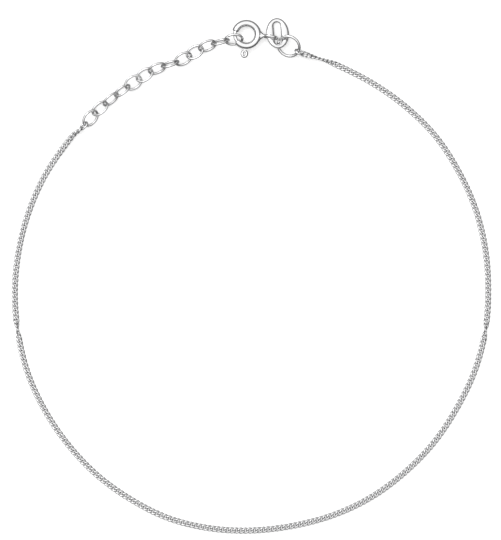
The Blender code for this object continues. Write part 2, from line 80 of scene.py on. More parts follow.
def addNode(tree, kind, place, **settings):
    node = tree.nodes.new(kind)
    node.location = (place[0] * 200, -place[1] * 180)
    for name, value in settings.items():
        setattr(node, name, value)
    return node


def plug(tree, socket, target):
    # a number or vector is typed into the socket, anything else is linked to it
    if isinstance(socket, bpy.types.NodeSocket):
        tree.links.new(socket, target)
    else:
        target.default_value = socket


def mathNode(tree, place, operation, first, second=None):
    node = addNode(tree, "ShaderNodeMath", place, operation=operation)
    plug(tree, first, node.inputs[0])
    if second is not None:
        plug(tree, second, node.inputs[1])
    return node.outputs[0]


# Camera, straight above as in the photo

camera = {
    "middle": (-0.17 * mm, 0.93 * mm),
    "height": 0.9,
    "viewHeight": 91.525 * mm,
    "sensor": 24,
    "nearest": 0.05,
    "farthest": 10,
}


def buildCamera():
    data = bpy.data.cameras.new("camera")
    data.sensor_fit = "VERTICAL"
    data.sensor_height = camera["sensor"]
    data.lens = data.sensor_height * camera["height"] / camera["viewHeight"]
    data.clip_start = camera["nearest"]
    data.clip_end = camera["farthest"]
    item = addObject("camera", data)
    item.location = (*camera["middle"], camera["height"])
    bpy.context.scene.camera = item


# Floor and light: a white table under a bright, even ceiling

studio = {
    "floorColour": (0.9, 0.9, 0.9),
    "floorMirrored": (0.3, 0.3, 0.3),
    "floorGlow": 0.45,
    "floorRoughness": 0.9,
    "floorSheen": 0.1,
    "floorSize": 1.2,
    "ceilingMiddle": (-0.13, 0.18, 0.97),
    "ceilingStrength": 1.08,
    "wallStrength": 0.1,
    "ceilingStart": 0.27,
    "ceilingFull": 0.81,
    "lampPower": 1.0,
    "lampSize": 0.35,
    "lampPlace": (-0.25, 0.3, 0.6),
}


def buildFloor():
    half = studio["floorSize"] / 2
    mesh = bpy.data.meshes.new("floor")
    corners = [(-half, -half, 0), (half, -half, 0), (half, half, 0), (-half, half, 0)]
    mesh.from_pydata(corners, [], [(0, 1, 2, 3)])
    floor = addObject("floor", mesh)
    paper = bpy.data.materials.new("whitePaper")
    paper.use_nodes = True
    shader = paper.node_tree.nodes["Principled BSDF"]
    shader.inputs["Roughness"].default_value = studio["floorRoughness"]
    shader.inputs["Specular IOR Level"].default_value = studio["floorSheen"]
    shader.inputs["Emission Strength"].default_value = studio["floorGlow"]
    # the paper is burnt out to white as in the photo, but the silver mirrors it as a darker grey
    ray = addNode(paper.node_tree, "ShaderNodeLightPath", (-4, 0))
    colours = {
        "Base Color": (studio["floorMirrored"], studio["floorColour"]),
        "Emission Color": ((0, 0, 0), (1, 1, 1)),
    }
    for row, (socket, (mirrored, seen)) in enumerate(colours.items()):
        mix = addNode(paper.node_tree, "ShaderNodeMix", (-2, row), data_type="RGBA")
        paper.node_tree.links.new(ray.outputs["Is Camera Ray"], mix.inputs["Factor"])
        mix.inputs["A"].default_value = (*mirrored, 1)
        mix.inputs["B"].default_value = (*seen, 1)
        paper.node_tree.links.new(mix.outputs["Result"], shader.inputs[socket])
    mesh.materials.append(paper)
    floor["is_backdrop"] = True


def buildLight():
    world = bpy.data.worlds.new("studio")
    world.use_nodes = True
    tree = world.node_tree
    background = tree.nodes["Background"]
    background.inputs["Color"].default_value = (1, 1, 1, 1)
    where = addNode(tree, "ShaderNodeTexCoord", (-5, 0))
    toward = addNode(tree, "ShaderNodeVectorMath", (-4, 0), operation="DOT_PRODUCT")
    toward.inputs[1].default_value = Vector(studio["ceilingMiddle"]).normalized()
    tree.links.new(where.outputs["Generated"], toward.inputs[0])
    ramp = addNode(tree, "ShaderNodeMapRange", (-3, 0), interpolation_type="SMOOTHSTEP")
    tree.links.new(toward.outputs["Value"], ramp.inputs["Value"])
    ramp.inputs["From Min"].default_value = studio["ceilingStart"]
    ramp.inputs["From Max"].default_value = studio["ceilingFull"]
    ramp.inputs["To Min"].default_value = studio["wallStrength"]
    ramp.inputs["To Max"].default_value = studio["ceilingStrength"]
    tree.links.new(ramp.outputs["Result"], background.inputs["Strength"])
    bpy.context.scene.world = world
    bpy.context.scene.view_settings.view_transform = "Standard"
    lamp = bpy.data.lights.new("softLamp", "AREA")
    lamp.energy = studio["lampPower"]
    lamp.size = studio["lampSize"]
    item = addObject("softLamp", lamp)
    item.location = studio["lampPlace"]
    item.rotation_euler = (-item.location).to_track_quat("-Z", "Y").to_euler()


buildCamera()
buildFloor()
buildLight()
print("camera, floor and light done")


# Polished silver, with a faint haze and fine wear that vary over the surface, and painted shade
# (darker, duller metal) where the pieces all but touch

silverFinish = {
    "hazeScale": 900.0,
    "hazeDetail": 4,
    "scratchScale": 5200.0,
    "scratchStretch": 14.0,
    "scratchDetail": 6,
    "scratchTurn": (0.3, 0.2, 0.7),
    "hollowDullness": 0.25,
}


def polishWearAndShadeGroup():
    tree = bpy.data.node_groups.new("polishWear", "ShaderNodeTree")
    addInput(tree, "Haze", "NodeSocketFloat", 0.05)
    addInput(tree, "Smoothness", "NodeSocketFloat", 0.1)
    addInput(tree, "Light Tone", "NodeSocketColor", (0.95, 0.95, 0.95, 1))
    addInput(tree, "Dark Tone", "NodeSocketColor", (0.85, 0.85, 0.86, 1))
    # the next two inputs are painted shade: how much the metal is darkened where links all but
    # touch, and the dark colour it is mixed toward
    addInput(tree, "Hollow", "NodeSocketFloat", 0)
    addInput(tree, "Hollow Tone", "NodeSocketColor", (0.0, 0.0, 0.0, 1))
    addOutput(tree, "Colour", "NodeSocketColor")
    addOutput(tree, "Roughness", "NodeSocketFloat")
    addOutput(tree, "Scratches", "NodeSocketFloat")
    given = addNode(tree, "NodeGroupInput", (-6, 0))
    made = addNode(tree, "NodeGroupOutput", (3, 0))
    where = addNode(tree, "ShaderNodeTexCoord", (-6, 2))
    haze = addNode(tree, "ShaderNodeTexNoise", (-3, 1))
    haze.inputs["Scale"].default_value = silverFinish["hazeScale"]
    haze.inputs["Detail"].default_value = silverFinish["hazeDetail"]
    tree.links.new(where.outputs["Object"], haze.inputs["Vector"])
    stretch = addNode(tree, "ShaderNodeMapping", (-5, 3))
    stretch.inputs["Scale"].default_value = (1, silverFinish["scratchStretch"], 1)
    stretch.inputs["Rotation"].default_value = silverFinish["scratchTurn"]
    tree.links.new(where.outputs["Object"], stretch.inputs["Vector"])
    scratches = addNode(tree, "ShaderNodeTexNoise", (-3, 3))
    scratchSize = silverFinish["scratchScale"] / silverFinish["scratchStretch"]
    scratches.inputs["Scale"].default_value = scratchSize
    scratches.inputs["Detail"].default_value = silverFinish["scratchDetail"]
    tree.links.new(stretch.outputs["Vector"], scratches.inputs["Vector"])
    tone = addNode(tree, "ShaderNodeMix", (0, 0), data_type="RGBA")
    tree.links.new(haze.outputs["Fac"], tone.inputs["Factor"])
    tree.links.new(given.outputs["Dark Tone"], tone.inputs["A"])
    tree.links.new(given.outputs["Light Tone"], tone.inputs["B"])
    spread = mathNode(tree, (-1, 1), "MULTIPLY", haze.outputs["Fac"], given.outputs["Haze"])
    dullness = silverFinish["hollowDullness"]
    dull = mathNode(tree, (-1, 2), "MULTIPLY", given.outputs["Hollow"], dullness)
    polished = mathNode(tree, (0, 1), "ADD", spread, given.outputs["Smoothness"])
    rough = mathNode(tree, (1, 1), "ADD", polished, dull)
    # painted shade: the colour is mixed toward the dark tone where links all but touch
    shaded = addNode(tree, "ShaderNodeMix", (1, 0), data_type="RGBA")
    tree.links.new(given.outputs["Hollow"], shaded.inputs["Factor"])
    tree.links.new(tone.outputs["Result"], shaded.inputs["A"])
    tree.links.new(given.outputs["Hollow Tone"], shaded.inputs["B"])
    tree.links.new(shaded.outputs["Result"], made.inputs["Colour"])
    tree.links.new(rough, made.inputs["Roughness"])
    tree.links.new(scratches.outputs["Fac"], made.inputs["Scratches"])
    return tree


polishWear = polishWearAndShadeGroup()


def silver(name, smoothness, haze, scratchDepth):
    material = bpy.data.materials.new(name)
    material.use_nodes = True
    tree = material.node_tree
    shader = tree.nodes["Principled BSDF"]
    shader.inputs["Metallic"].default_value = 1
    wear = addNode(tree, "ShaderNodeGroup", (-4, 0), node_tree=polishWear)
    wear.inputs["Smoothness"].default_value = smoothness
    wear.inputs["Haze"].default_value = haze
    # painted shade: this attribute darkens the colour where links all but touch
    hollow = addNode(tree, "ShaderNodeAttribute", (-6, 0), attribute_name="hollow")
    tree.links.new(hollow.outputs["Fac"], wear.inputs["Hollow"])
    bump = addNode(tree, "ShaderNodeBump", (-2, 2))
    bump.inputs["Strength"].default_value = 1
    bump.inputs["Distance"].default_value = scratchDepth
    tree.links.new(wear.outputs["Colour"], shader.inputs["Base Color"])
    tree.links.new(wear.outputs["Roughness"], shader.inputs["Roughness"])
    tree.links.new(wear.outputs["Scratches"], bump.inputs["Height"])
    tree.links.new(bump.outputs["Normal"], shader.inputs["Normal"])
    return material


# each finish has a smoothness, a haze and a depth of scratches
silvers = {
    "chain": silver("curbChainSilver", 0.12, 0.08, 0.002 * mm),
    "links": silver("extenderSilver", 0.08, 0.06, 0.002 * mm),
    "ends": silver("endLinkSilver", 0.1, 0.06, 0.002 * mm),
    "ring": silver("springRingSilver", 0.06, 0.06, 0.002 * mm),
    "bolt": silver("boltSilver", 0.08, 0.08, 0.003 * mm),
    "tag": silver("tagSilver", 0.07, 0.06, 0.002 * mm),
    "jump": silver("jumpRingSilver", 0.2, 0.06, 0.002 * mm),
}
print("silver finishes done")


# Making and finishing pieces

def evaluatedMesh(item):
    bpy.context.view_layer.update()
    graph = bpy.context.evaluated_depsgraph_get()
    return bpy.data.meshes.new_from_object(item.evaluated_get(graph), depsgraph=graph)


def nodeMesh(name, source, tree, values):
    # runs a node tree on a helper object and keeps only the finished mesh
    helper = addObject(name + "Helper", source)
    modifier = helper.modifiers.new(tree.name, "NODES")
    modifier.node_group = tree
    for item in tree.interface.items_tree:
        if item.item_type == "SOCKET" and item.in_out == "INPUT" and item.name in values:
            modifier[item.identifier] = values[item.name]
    mesh = evaluatedMesh(helper)
    mesh.name = name
    helper.modifiers.remove(modifier)
    bpy.data.objects.remove(helper)
    return mesh


def finishPiece(item, body, slotName, *nodes):
    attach(item, body)
    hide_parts(*nodes)


# Wire links laid out from a list of poses: x, y, z in millimetres, then three turns in degrees

def poseMatrix(pose):
    place = Matrix.Translation(Vector(pose[:3]) * mm)
    return place @ Euler([math.radians(angle) for angle in pose[3:]]).to_matrix().to_4x4()


def poseCloud(name, poses):
    mesh = bpy.data.meshes.new(name)
    mesh.from_pydata([Vector(pose[:3]) * mm for pose in poses], [], [])
    turns = mesh.attributes.new("turn", "FLOAT_VECTOR", "POINT")
    for item, pose in zip(turns.data, poses):
        item.vector = [math.radians(angle) for angle in pose[3:]]
    return mesh


# the soldered joint's place and reach are shares of the way round the link
solder = {"place": 0.25, "swell": 0.06, "reach": 0.02}


def wireLinksTree():
    tree = bpy.data.node_groups.new("wireLinks", "GeometryNodeTree")
    addInput(tree, "Geometry", "NodeSocketGeometry")
    addInput(tree, "Link Length", "NodeSocketFloat")
    addInput(tree, "Link Width", "NodeSocketFloat")
    addInput(tree, "Wire", "NodeSocketFloat")
    addInput(tree, "Joint Swell", "NodeSocketFloat", solder["swell"])
    addInput(tree, "Joint Reach", "NodeSocketFloat", solder["reach"])
    addInput(tree, "Points Round", "NodeSocketInt", 64)
    addInput(tree, "Wire Sides", "NodeSocketInt", 16)
    addInput(tree, "Material", "NodeSocketMaterial")
    addOutput(tree, "Geometry", "NodeSocketGeometry")
    given = addNode(tree, "NodeGroupInput", (-9, 0))
    made = addNode(tree, "NodeGroupOutput", (4, 0))

    circle = addNode(tree, "GeometryNodeCurvePrimitiveCircle", (-6, 0))
    circle.inputs["Radius"].default_value = 0.5
    tree.links.new(given.outputs["Points Round"], circle.inputs["Resolution"])
    thickness = given.outputs["Wire"]
    innerLength = mathNode(tree, (-7, 2), "SUBTRACT", given.outputs["Link Length"], thickness)
    innerWidth = mathNode(tree, (-7, 3), "SUBTRACT", given.outputs["Link Width"], thickness)
    size = addNode(tree, "ShaderNodeCombineXYZ", (-6, 2))
    tree.links.new(innerLength, size.inputs["X"])
    tree.links.new(innerWidth, size.inputs["Y"])
    size.inputs["Z"].default_value = 1
    oval = addNode(tree, "GeometryNodeTransform", (-5, 0))
    tree.links.new(circle.outputs["Curve"], oval.inputs["Geometry"])
    tree.links.new(size.outputs[0], oval.inputs["Scale"])

    # the soldered joint, half way along one side, is a little thicker than the wire
    share = addNode(tree, "GeometryNodeSplineParameter", (-8, 5))
    away = mathNode(tree, (-7, 5), "SUBTRACT", share.outputs["Factor"], solder["place"])
    ratio = mathNode(tree, (-6, 5), "DIVIDE", away, given.outputs["Joint Reach"])
    squared = mathNode(tree, (-5, 5), "MULTIPLY", ratio, ratio)
    fall = mathNode(tree, (-4, 5), "ADD", squared, 1.0)
    swell = mathNode(tree, (-3, 5), "DIVIDE", given.outputs["Joint Swell"], fall)
    radius = mathNode(tree, (-2, 5), "ADD", swell, 1.0)
    thicker = addNode(tree, "GeometryNodeSetCurveRadius", (-4, 0))
    tree.links.new(oval.outputs["Geometry"], thicker.inputs["Curve"])
    tree.links.new(radius, thicker.inputs["Radius"])

    section = addNode(tree, "GeometryNodeCurvePrimitiveCircle", (-4, 2))
    half = mathNode(tree, (-5, 3), "MULTIPLY", thickness, 0.5)
    tree.links.new(given.outputs["Wire Sides"], section.inputs["Resolution"])
    tree.links.new(half, section.inputs["Radius"])
    wire = addNode(tree, "GeometryNodeCurveToMesh", (-3, 0))
    tree.links.new(thicker.outputs["Curve"], wire.inputs["Curve"])
    tree.links.new(section.outputs["Curve"], wire.inputs["Profile Curve"])
    tree.links.new(radius, wire.inputs["Scale"])

    turned = addNode(tree, "GeometryNodeInputNamedAttribute", (-2, 3), data_type="FLOAT_VECTOR")
    turned.inputs["Name"].default_value = "turn"
    rotation = addNode(tree, "FunctionNodeEulerToRotation", (-1, 3))
    tree.links.new(turned.outputs["Attribute"], rotation.inputs["Euler"])
    smooth = addNode(tree, "GeometryNodeSetShadeSmooth", (-2, 0))
    tree.links.new(wire.outputs["Mesh"], smooth.inputs["Geometry"])
    lay = addNode(tree, "GeometryNodeInstanceOnPoints", (0, 0))
    tree.links.new(given.outputs["Geometry"], lay.inputs["Points"])
    tree.links.new(smooth.outputs["Geometry"], lay.inputs["Instance"])
    tree.links.new(rotation.outputs["Rotation"], lay.inputs["Rotation"])
    finishTree(tree, given, lay.outputs["Instances"], made)
    return tree


def finishTree(tree, given, instances, made):
    real = addNode(tree, "GeometryNodeRealizeInstances", (1, 0))
    tree.links.new(instances, real.inputs["Geometry"])
    metal = addNode(tree, "GeometryNodeSetMaterial", (3, 0))
    tree.links.new(real.outputs["Geometry"], metal.inputs["Geometry"])
    tree.links.new(given.outputs["Material"], metal.inputs["Material"])
    tree.links.new(metal.outputs["Geometry"], made.inputs["Geometry"])


wireLinks = wireLinksTree()

extender = {
    "length": 3.34 * mm,
    "width": 2.6 * mm,
    "wire": 0.4 * mm,
    "poses": [
        (-3.008, 39.966, 1.046, 44.00, 0, 6), (-5.304, 39.547, 1.246, -72.00, 0, 14),
        (-7.482, 38.888, 1.046, 48.00, 0, 22), (-9.602, 37.823, 0.846, -30.00, 0, 31),
        (-11.553, 36.682, 1.033, 38.00, 0, 29), (-13.793, 35.805, 1.233, -70.00, 0, 17),
        (-15.987, 35.056, 1.042, 50.00, 0, 22), (-18.099, 33.941, 0.842, -32.00, 0, 34),
        (-20.014, 32.667, 0.932, 26.00, 0, 33), (-21.910, 31.299, 1.132, -58.00, 0, 36),
        (-23.827, 29.825, 1.152, 60.00, 0, 40), (-25.650, 28.295, 0.952, -38.00, 0, 40),
        (-27.268, 26.670, 0.815, 34.00, 0, 50),
    ],
}


def buildExtender():
    poses = extender["poses"]
    mesh = nodeMesh("extenderLinks", poseCloud("extenderPoses", poses), wireLinks, {
        "Link Length": extender["length"],
        "Link Width": extender["width"],
        "Wire": extender["wire"],
        "Material": silvers["links"],
    })
    nodes = [f"extender_link_{number:02d}" for number in range(1, len(poses) + 1)]
    finishPiece(addObject("extenderLinks", mesh), "anklet", "extender_silver", *nodes)


endLinks = {
    "length": 1.8 * mm,
    "width": 1.5 * mm,
    "wire": 0.34 * mm,
    "pointsRound": 48,
    "claspPose": (8.094, 37.820, 1.177, 57.13, -14.00, 158.00),
    "extenderPose": (-28.374, 25.366, 0.815, 124.02, 0, 48.00),
}


def buildEndLinks():
    poses = poseCloud("endLinkPoses", [endLinks["claspPose"], endLinks["extenderPose"]])
    mesh = nodeMesh("endLinks", poses, wireLinks, {
        "Link Length": endLinks["length"],
        "Link Width": endLinks["width"],
        "Wire": endLinks["wire"],
        "Points Round": endLinks["pointsRound"],
        "Material": silvers["ends"],
    })
    nodes = ["end_link_clasp", "end_link_extender"]
    finishPiece(addObject("endLinks", mesh), "anklet", "end_link_silver", *nodes)


jumpRing = {
    "diameter": 4.2 * mm,
    "wire": 0.48 * mm,
    "pointsRound": 96,
    "wireSides": 24,
    "pose": (6.303, 38.823, 1.225, 32.00, 0, -30.00),
}


def buildJumpRing():
    mesh = nodeMesh("jumpRing", poseCloud("jumpRingPose", [jumpRing["pose"]]), wireLinks, {
        "Link Length": jumpRing["diameter"],
        "Link Width": jumpRing["diameter"],
        "Wire": jumpRing["wire"],
        "Points Round": jumpRing["pointsRound"],
        "Wire Sides": jumpRing["wireSides"],
        "Material": silvers["jump"],
    })
    finishPiece(addObject("jumpRing", mesh), "anklet", "jump_ring_silver", "jump_ring")


buildExtender()
buildEndLinks()
buildJumpRing()
print("extender, end links and jump ring done")


# Curb chain: ovals twisted along their length and pressed flat, each through the next

curbChain = {
    "width": 1.1 * mm,
    "wire": 0.31 * mm,
    "pitch": 0.768 * mm,
    "slack": 0.008 * mm,
    "twist": -105.0,
    "pointsRound": 12,
    "wireSides": 6,
    "pressedHalf": 0.25 * mm,
    "facetSteepness": 0.99,
    "flatHeight": 0.26 * mm,
    "edgeHeight": 0.58 * mm,
    "startHeight": 0.95 * mm,
    "endHeight": 0.815 * mm,
    "easeLength": 7.0 * mm,
    "routeStep": 0.25 * mm,
    "routeFineness": 40,
    "rollSmoothing": 4,
    # where the chain rolls over: millimetres from the clasp, and degrees
    "rolls": [
        (0.0, -20.0), (0.8, -30.0), (1.8, -70.0), (3.6, -100.0), (6.2, -180.0), (60.0, -180.0),
        (63.2, -360.0), (173.6, -360.0), (177.2, -540.0), (209.0, -540.0), (212.1, -454.0),
    ],
    # the loop's width, and the route as shares of it, from the clasp round to the extender
    "loopWidth": 80.2 * mm,
    "route": [
        (0.1733, 0.4476), (0.2531, 0.4077), (0.3242, 0.3579), (0.3878, 0.2955),
        (0.4364, 0.2219), (0.4726, 0.1421), (0.4938, 0.0561), (0.5000, -0.0312),
        (0.4938, -0.1172), (0.4713, -0.2020), (0.4327, -0.2818), (0.3840, -0.3541),
        (0.3229, -0.4165), (0.2519, -0.4688), (0.1721, -0.5062), (0.0873, -0.5287),
        (-0.0012, -0.5387), (-0.0898, -0.5337), (-0.1758, -0.5125), (-0.2556, -0.4726),
        (-0.3279, -0.4202), (-0.3890, -0.3554), (-0.4377, -0.2830), (-0.4738, -0.2032),
        (-0.4938, -0.1172), (-0.5000, -0.0312), (-0.4913, 0.0561), (-0.4688, 0.1397),
        (-0.4327, 0.2182), (-0.3828, 0.2893),
    ],
    "start": (8.940 * mm, 37.478 * mm),
    "end": (-29.003 * mm, 24.667 * mm),
}


def smoothRoute(plan, step):
    # a smooth curve through the plan's points, cut into even steps
    knots = np.vstack([2 * plan[0] - plan[1], plan, 2 * plan[-1] - plan[-2]])
    share = np.linspace(0, 1, curbChain["routeFineness"], endpoint=False)[:, None]
    runs = []
    for before, here, there, after in zip(knots, knots[1:], knots[2:], knots[3:]):
        bend = 2 * before - 5 * here + 4 * there - after
        swing = 3 * here - before - 3 * there + after
        curve = here + (there - before) * share / 2
        runs.append(curve + bend * share**2 / 2 + swing * share**3 / 2)
    fine = np.vstack(runs + [plan[-1:]])
    along = np.concatenate([[0], np.cumsum(np.linalg.norm(np.diff(fine, axis=0), axis=1))])
    marks = np.linspace(0, along[-1], round(along[-1] / step) + 1)
    return marks, np.stack([np.interp(marks, along, fine[:, axis]) for axis in (0, 1)], 1)


def easeDown(distance, length):
    share = np.clip(distance / length, 0, 1)
    return (1 - share) ** 2 * (1 + 2 * share)


def chainRoute():
    chain = curbChain
    around = [(x * chain["loopWidth"], y * chain["loopWidth"]) for x, y in chain["route"]]
    plan = np.array([chain["start"], *around, chain["end"]])
    marks, places = smoothRoute(plan, chain["routeStep"])
    length = marks[-1]
    rolls = np.radians(np.interp(marks / mm, *zip(*chain["rolls"])))
    for _ in range(chain["rollSmoothing"]):
        rolls[1:-1] = (rolls[:-2] + rolls[1:-1] + rolls[2:]) / 3
    flat, ease = chain["flatHeight"], chain["easeLength"]
    lying = flat + (chain["edgeHeight"] - flat) * np.abs(np.sin(rolls))
    held = flat + (chain["startHeight"] - flat) * easeDown(marks, ease)
    held += (chain["endHeight"] - flat) * easeDown(length - marks, ease)
    heights = np.maximum(lying, held)
    heights[0] = chain["startHeight"]
    data = bpy.data.curves.new("chainRoute", "CURVE")
    data.dimensions = "3D"
    data.twist_mode = "Z_UP"
    spline = data.splines.new("POLY")
    spline.points.add(len(marks) - 1)
    for point, place, height, roll in zip(spline.points, places, heights, rolls):
        point.co = (*place, height, 1)
        point.tilt = roll
    return data, length


def curbChainTree():
    tree = bpy.data.node_groups.new("curbChain", "GeometryNodeTree")
    addInput(tree, "Geometry", "NodeSocketGeometry")
    addInput(tree, "Link Length", "NodeSocketFloat")
    addInput(tree, "Link Width", "NodeSocketFloat")
    addInput(tree, "Wire", "NodeSocketFloat")
    addInput(tree, "Twist", "NodeSocketFloat")
    addInput(tree, "Pressed Half", "NodeSocketFloat")
    addInput(tree, "Link Count", "NodeSocketInt")
    addInput(tree, "Points Round", "NodeSocketInt")
    addInput(tree, "Wire Sides", "NodeSocketInt")
    addInput(tree, "Material", "NodeSocketMaterial")
    addOutput(tree, "Geometry", "NodeSocketGeometry")
    given = addNode(tree, "NodeGroupInput", (-10, 0))
    made = addNode(tree, "NodeGroupOutput", (4, 0))

    circle = addNode(tree, "GeometryNodeCurvePrimitiveCircle", (-5, 0))
    circle.inputs["Radius"].default_value = 1
    tree.links.new(given.outputs["Points Round"], circle.inputs["Resolution"])
    where = addNode(tree, "GeometryNodeInputPosition", (-9, 3))
    split = addNode(tree, "ShaderNodeSeparateXYZ", (-8, 3))
    tree.links.new(where.outputs[0], split.inputs[0])
    thickness = given.outputs["Wire"]
    lengthLess = mathNode(tree, (-8, 1), "SUBTRACT", given.outputs["Link Length"], thickness)
    widthLess = mathNode(tree, (-8, 2), "SUBTRACT", given.outputs["Link Width"], thickness)
    halfLength = mathNode(tree, (-7, 1), "MULTIPLY", lengthLess, 0.5)
    halfWidth = mathNode(tree, (-7, 2), "MULTIPLY", widthLess, 0.5)
    halfTwist = mathNode(tree, (-8, 4), "MULTIPLY", given.outputs["Twist"], 0.5)
    turn = mathNode(tree, (-7, 4), "MULTIPLY", halfTwist, split.outputs["X"])
    lengthwise = mathNode(tree, (-6, 1), "MULTIPLY", halfLength, split.outputs["X"])
    across = mathNode(tree, (-6, 2), "MULTIPLY", halfWidth, split.outputs["Y"])
    sine = mathNode(tree, (-6, 4), "SINE", turn)
    cosine = mathNode(tree, (-6, 5), "COSINE", turn)
    sideways = mathNode(tree, (-5, 3), "MULTIPLY", across, cosine)
    upwards = mathNode(tree, (-5, 4), "MULTIPLY", across, sine)
    place = addNode(tree, "ShaderNodeCombineXYZ", (-4, 2))
    for socket, axis in zip((lengthwise, sideways, upwards), "XYZ"):
        tree.links.new(socket, place.inputs[axis])
    shaped = addNode(tree, "GeometryNodeSetPosition", (-4, 0))
    tree.links.new(circle.outputs["Curve"], shaped.inputs["Geometry"])
    tree.links.new(place.outputs[0], shaped.inputs["Position"])

    section = addNode(tree, "GeometryNodeCurvePrimitiveCircle", (-3, 2))
    radius = mathNode(tree, (-4, 4), "MULTIPLY", thickness, 0.5)
    tree.links.new(given.outputs["Wire Sides"], section.inputs["Resolution"])
    tree.links.new(radius, section.inputs["Radius"])
    wire = addNode(tree, "GeometryNodeCurveToMesh", (-2, 0))
    tree.links.new(shaped.outputs["Geometry"], wire.inputs["Curve"])
    tree.links.new(section.outputs["Curve"], wire.inputs["Profile Curve"])

    # the finished chain is pressed flat, which leaves bright facets on both faces
    wirePlace = addNode(tree, "ShaderNodeSeparateXYZ", (-2, -2))
    tree.links.new(where.outputs[0], wirePlace.inputs[0])
    above = given.outputs["Pressed Half"]
    below = mathNode(tree, (-1, -3), "MULTIPLY", above, -1.0)
    lowered = mathNode(tree, (-1, -2), "MINIMUM", wirePlace.outputs["Z"], above)
    raised = mathNode(tree, (0, -2), "MAXIMUM", lowered, below)
    flatPlace = addNode(tree, "ShaderNodeCombineXYZ", (1, -2))
    tree.links.new(wirePlace.outputs["X"], flatPlace.inputs["X"])
    tree.links.new(wirePlace.outputs["Y"], flatPlace.inputs["Y"])
    tree.links.new(raised, flatPlace.inputs["Z"])
    pressed = addNode(tree, "GeometryNodeSetPosition", (-1, 0))
    tree.links.new(wire.outputs["Mesh"], pressed.inputs["Geometry"])
    tree.links.new(flatPlace.outputs[0], pressed.inputs["Position"])

    # only the rounds are shaded smooth, so the facets keep their edges
    smooth = addNode(tree, "GeometryNodeSetShadeSmooth", (0, 0))
    tree.links.new(pressed.outputs["Geometry"], smooth.inputs["Geometry"])
    faces = addNode(tree, "GeometryNodeInputNormal", (0, -4))
    faceSplit = addNode(tree, "ShaderNodeSeparateXYZ", (1, -4))
    tree.links.new(faces.outputs["Normal"], faceSplit.inputs[0])
    steepness = mathNode(tree, (2, -4), "ABSOLUTE", faceSplit.outputs["Z"])
    rounded = mathNode(tree, (3, -4), "LESS_THAN", steepness, curbChain["facetSteepness"])
    tree.links.new(rounded, smooth.inputs["Shade Smooth"])

    spots = addNode(tree, "GeometryNodeCurveToPoints", (-2, 3), mode="COUNT")
    tree.links.new(given.outputs["Geometry"], spots.inputs["Curve"])
    tree.links.new(given.outputs["Link Count"], spots.inputs["Count"])
    facing = addNode(tree, "FunctionNodeAxesToRotation", (-1, 4))
    facing.primary_axis = "X"
    facing.secondary_axis = "Y"
    tree.links.new(spots.outputs["Tangent"], facing.inputs["Primary Axis"])
    tree.links.new(spots.outputs["Normal"], facing.inputs["Secondary Axis"])
    lay = addNode(tree, "GeometryNodeInstanceOnPoints", (0, 0))
    tree.links.new(spots.outputs["Points"], lay.inputs["Points"])
    tree.links.new(smooth.outputs["Geometry"], lay.inputs["Instance"])
    tree.links.new(facing.outputs["Rotation"], lay.inputs["Rotation"])
    finishTree(tree, given, lay.outputs["Instances"], made)
    return tree


def buildCurbChain():
    route, length = chainRoute()
    count = round(length / curbChain["pitch"]) + 1
    pitch = length / (count - 1)
    mesh = nodeMesh("curbChain", route, curbChainTree(), {
        "Link Length": pitch + 2 * curbChain["wire"] + curbChain["slack"],
        "Link Width": curbChain["width"],
        "Wire": curbChain["wire"],
        "Twist": math.radians(curbChain["twist"]),
        "Pressed Half": curbChain["pressedHalf"],
        "Link Count": count,
        "Points Round": curbChain["pointsRound"],
        "Wire Sides": curbChain["wireSides"],
        "Material": silvers["chain"],
    })
    finishPiece(addObject("curbChain", mesh), "anklet", "chain_silver", "curb_chain")
    print(f"curb chain: {count} links, {pitch / mm:.3f} mm apart, {len(mesh.polygons)} faces")


buildCurbChain()


# Solid metal for the clasp and the tag, cut and joined before it is laid in its place

weldDistance = 0.0005 * mm
bandSides = 28


def wireObject(name, points, wire, sides, closed, radii=None):
    data = bpy.data.curves.new(name, "CURVE")
    data.dimensions = "3D"
    data.twist_mode = "Z_UP"
    data.bevel_depth = wire / 2
    data.bevel_resolution = sides
    data.use_fill_caps = not closed
    spline = data.splines.new("POLY")
    spline.points.add(len(points) - 1)
    for index, point in enumerate(points):
        spline.points[index].co = (*point, 1)
        if radii is not None:
            spline.points[index].radius = radii[index]
    spline.use_cyclic_u = closed
    return addObject(name, data)


def plateObject(name, outline, thickness):
    data = bpy.data.curves.new(name, "CURVE")
    data.dimensions = "2D"
    data.fill_mode = "BOTH"
    data.extrude = thickness / 2
    spline = data.splines.new("POLY")
    spline.points.add(len(outline) - 1)
    for point, (x, y) in zip(spline.points, outline):
        point.co = (x, y, 0, 1)
    spline.use_cyclic_u = True
    return addObject(name, data)


def bandRing(name, rim, slot, thickness, crown):
    # a flat ring between two outlines, crowned on both faces: a higher crown makes it flatter
    around = np.linspace(0, 2 * math.pi, bandSides, endpoint=False)
    cosine, sine = np.cos(around), np.sin(around)
    across = 0.5 + 0.5 * np.sign(cosine) * np.abs(cosine) ** (2 / crown)
    heights = thickness / 2 * np.sign(sine) * np.abs(sine) ** (2 / crown)
    points = slot[:, None] + (rim - slot)[:, None] * across[None, :, None]
    points[:, :, 2] = heights
    faces = []
    for row in range(len(rim)):
        here, there = row * bandSides, (row + 1) % len(rim) * bandSides
        for side in range(bandSides):
            after = (side + 1) % bandSides
            faces.append((here + side, there + side, there + after, here + after))
    mesh = bpy.data.meshes.new(name)
    mesh.from_pydata(points.reshape(-1, 3).tolist(), [], faces)
    return addObject(name, mesh)


def solid(item, pose=None):
    # makes a helper a closed mesh, and moves it inside its own frame
    mesh = evaluatedMesh(item)
    shape = bmesh.new()
    shape.from_mesh(mesh)
    bmesh.ops.remove_doubles(shape, verts=shape.verts, dist=weldDistance)
    bmesh.ops.recalc_face_normals(shape, faces=shape.faces)
    shape.to_mesh(mesh)
    shape.free()
    if pose is not None:
        mesh.transform(pose)
    name = item.name
    bpy.data.objects.remove(item)
    return addObject(name, mesh)


